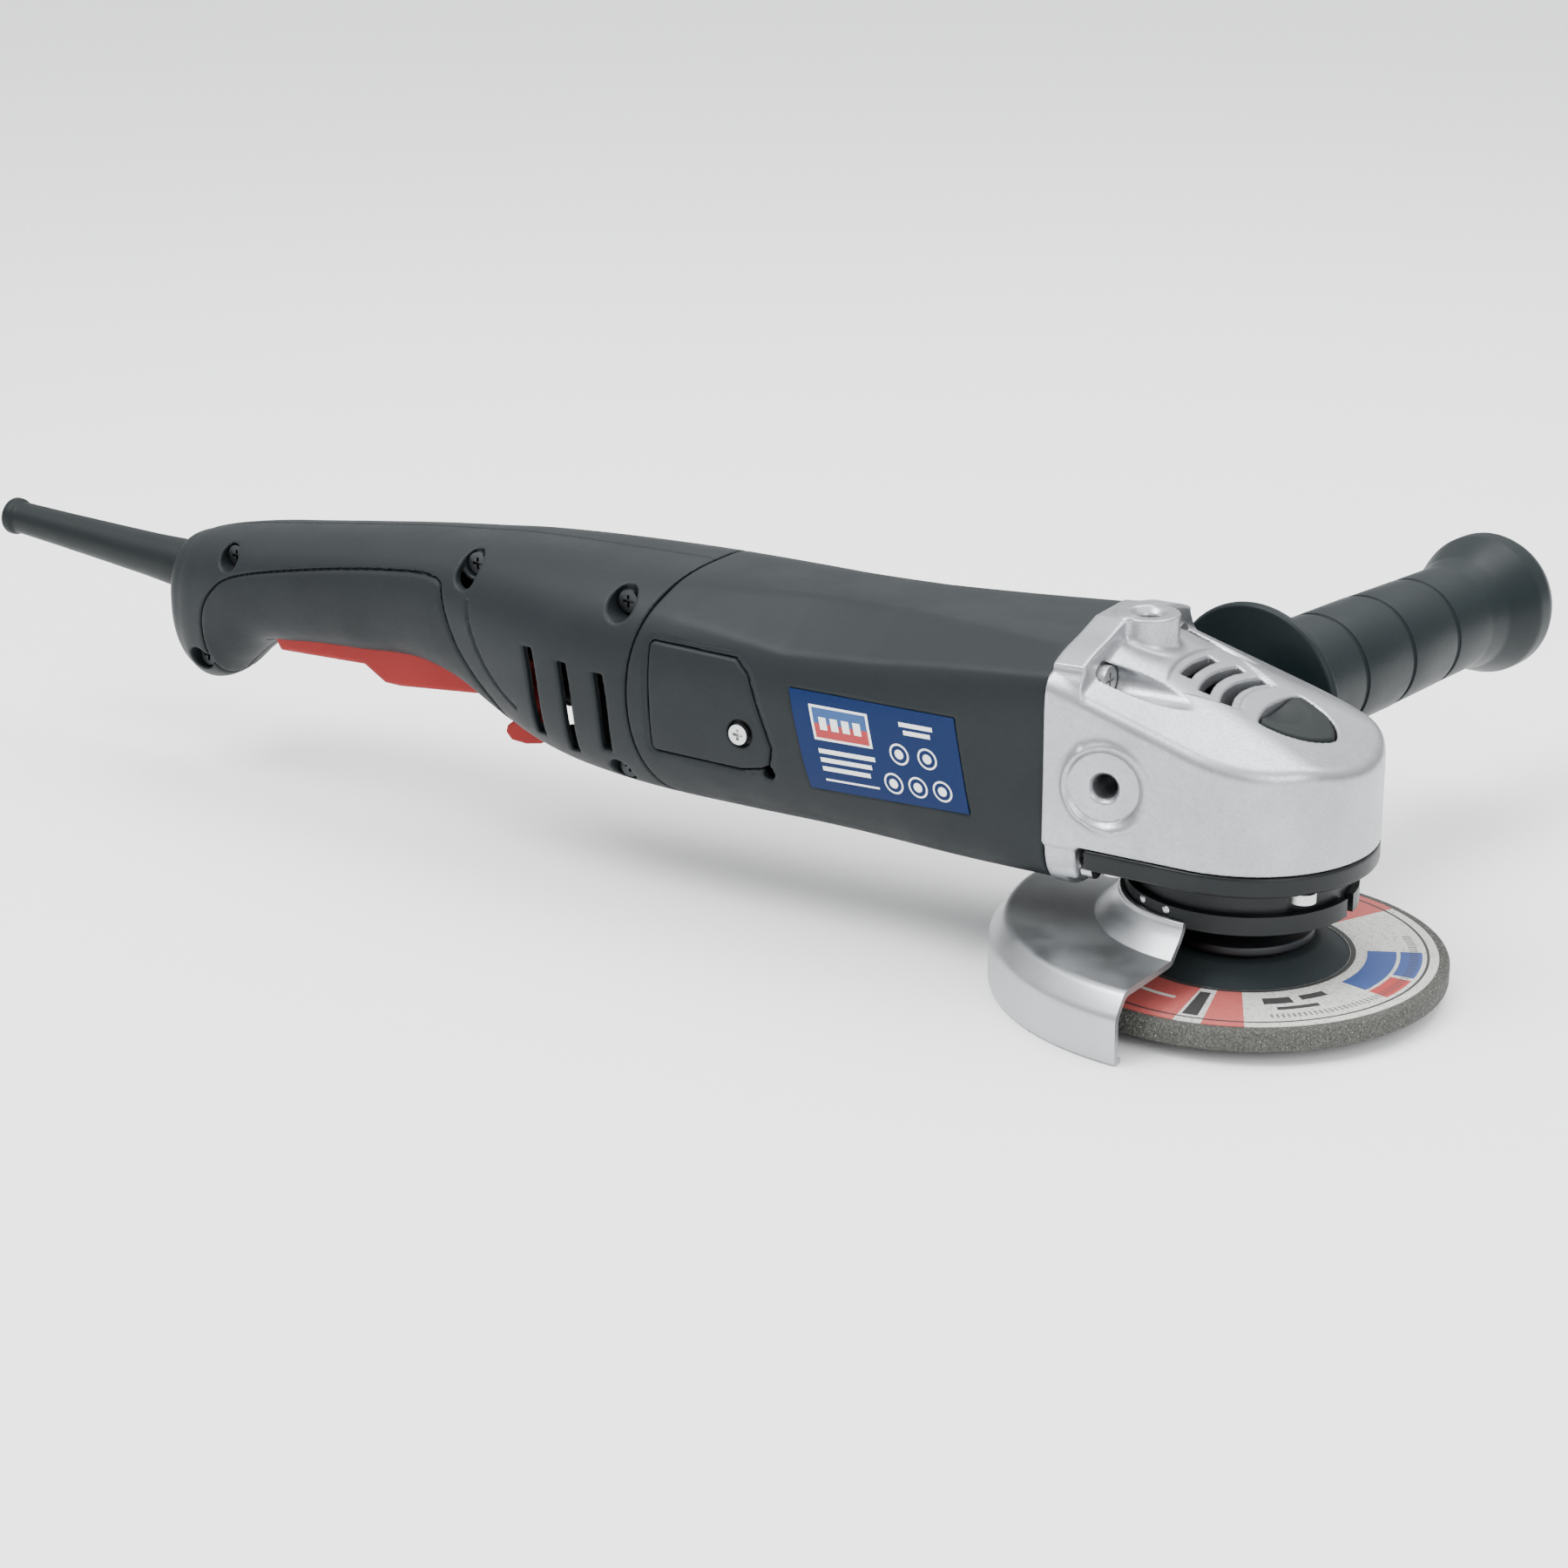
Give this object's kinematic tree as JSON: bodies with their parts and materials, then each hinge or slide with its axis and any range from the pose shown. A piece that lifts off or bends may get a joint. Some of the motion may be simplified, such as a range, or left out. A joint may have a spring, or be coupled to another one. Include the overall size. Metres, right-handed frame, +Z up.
{
  "type": "angle grinder",
  "caption": "Long-bodied corded angle grinder with cast head, rear paddle handle, side handle, sheet guard and depressed-centre grinding disc.",
  "frame": {"origin": "centre of the spindle's lower end face", "axes": "+X from the rear handle to the gear head along the motor, +Y to the side of the auxiliary handle, +Z up along the spindle"},
  "size_m": [0.5129, 0.2606, 0.1025],
  "materials": {
    "cast_alloy": "blasted casting",
    "black_plastic": "fine spark-eroded texture",
    "cover_paint": "satin black paint",
    "soft_grip": "matt soft moulding",
    "sleeve_rubber": "satin rubber",
    "red_plastic": "satin moulding",
    "zinc_sheet": "zinc-plated sheet",
    "zinc_screw": "blue zinc plating",
    "steel": "ground steel",
    "dark_steel": "blackened steel",
    "laminations": "stacked sheet",
    "copper": "enamelled wire",
    "brass": "machined",
    "carbon": "pressed carbon",
    "abrasive": "bonded grit",
    "paper_label": "printed paper",
    "film_label": "printed film"
  },
  "bodies": {
    "housing": {"gear_case": "cast_alloy", "gear_case_screws": "zinc_screw", "bearing_cover": "cover_paint", "bearing_cover_screws": "zinc_screw", "dust_ring": "steel", "lower_spindle_bearing": "steel", "upper_spindle_bearing": "steel", "motor_housing": "black_plastic", "bearing_plate": "cast_alloy", "air_baffle": "black_plastic", "stator_core": "laminations", "stator_windings": "copper", "armature_front_bearing": "steel", "armature_rear_bearing": "steel", "brush_holders": "brass", "brush_springs": "steel", "brush_door_right": "black_plastic", "brush_door_left": "black_plastic", "brush_door_screws": "zinc_screw", "name_plate": "film_label", "handle_shell_right": "black_plastic", "handle_shell_left": "black_plastic", "grip_inlay_right": "soft_grip", "grip_inlay_left": "soft_grip", "handle_screws": "zinc_screw", "switch_body": "black_plastic", "cord_clamp": "black_plastic", "cord_clamp_screws": "zinc_screw", "strain_relief": "sleeve_rubber", "paddle_pin": "steel", "paddle_spring": "steel", "lock_spring": "steel", "side_handle_grip": "black_plastic", "side_handle_stud": "steel"},
    "spindle_group": {"spindle": "steel", "ring_gear": "steel", "inner_flange": "dark_steel", "grinding_disc": "abrasive", "disc_label": "paper_label", "disc_bushing": "steel", "lock_nut": "dark_steel"},
    "armature": {"armature_shaft": "steel", "armature_core": "laminations", "armature_windings": "copper", "commutator": "copper", "cooling_fan": "black_plastic", "pinion": "steel", "pinion_nut": "steel"},
    "guard_group": {"guard": "zinc_sheet", "guard_band": "cover_paint", "guard_rivets": "steel"},
    "paddle_group": {"paddle": "red_plastic", "lever_pin": "steel", "lever_spring": "steel"},
    "lever_body": {"lock_lever": "red_plastic"},
    "plunger_body": {"switch_plunger": "black_plastic"},
    "spindle_lock": {"lock_button": "black_plastic", "lock_pin": "steel"},
    "brush_right": {"carbon_brush_right": "carbon"},
    "brush_left": {"carbon_brush_left": "carbon"}
  },
  "joints": [
    {"name": "spindle_spin", "type": "hinge", "parent": "housing", "child": "spindle_group", "pos_m": [0, 0, 0.03], "axis": [0, 0, 1], "continuous": true},
    {"name": "armature_spin", "type": "hinge", "parent": "housing", "child": "armature", "pos_m": [-0.1, 0, 0.058], "axis": [1, 0, 0], "continuous": true},
    {"name": "guard_turn", "type": "hinge", "parent": "housing", "child": "guard_group", "pos_m": [0, 0, 0.024], "axis": [0, 0, 1], "range_deg": [-75, 75]},
    {"name": "paddle_press", "type": "hinge", "parent": "housing", "child": "paddle_group", "pos_m": [-0.331, 0, 0.0505], "axis": [0, -1, 0], "range_deg": [0, 4], "stiffness_Nm_per_rad": 1, "springref_deg": -17.19, "deforming": ["paddle_spring"]},
    {"name": "lock_lever_swing", "type": "hinge", "parent": "paddle_group", "child": "lever_body", "pos_m": [-0.243, 0, 0.0415], "axis": [0, -1, 0], "range_deg": [0, 30], "stiffness_Nm_per_rad": 0.01, "springref_deg": -22.92},
    {"name": "switch_plunger_press", "type": "slide", "parent": "housing", "child": "plunger_body", "axis": [0, 0, 1], "range_m": [0, 0.0036]},
    {"name": "spindle_lock_press", "type": "slide", "parent": "housing", "child": "spindle_lock", "axis": [0, 0, -1], "range_m": [0, 0.0035], "stiffness_N_per_m": 600, "springref_m": -0.002, "deforming": ["lock_spring"]},
    {"name": "brush_right_slide", "type": "slide", "parent": "housing", "child": "brush_right", "axis": [0, -1, 0], "range_m": [0, 0.003], "stiffness_N_per_m": 250, "springref_m": -0.004, "deforming": ["brush_springs"]},
    {"name": "brush_left_slide", "type": "slide", "parent": "housing", "child": "brush_left", "axis": [0, 1, 0], "range_m": [0, 0.003], "stiffness_N_per_m": 250, "springref_m": -0.004}
  ],
  "couplings": [
    {"joint": "armature_spin", "follows": "spindle_spin", "ratio": -3},
    {"joint": "switch_plunger_press", "follows": "paddle_press", "m_per_rad": 0.05}
  ]
}
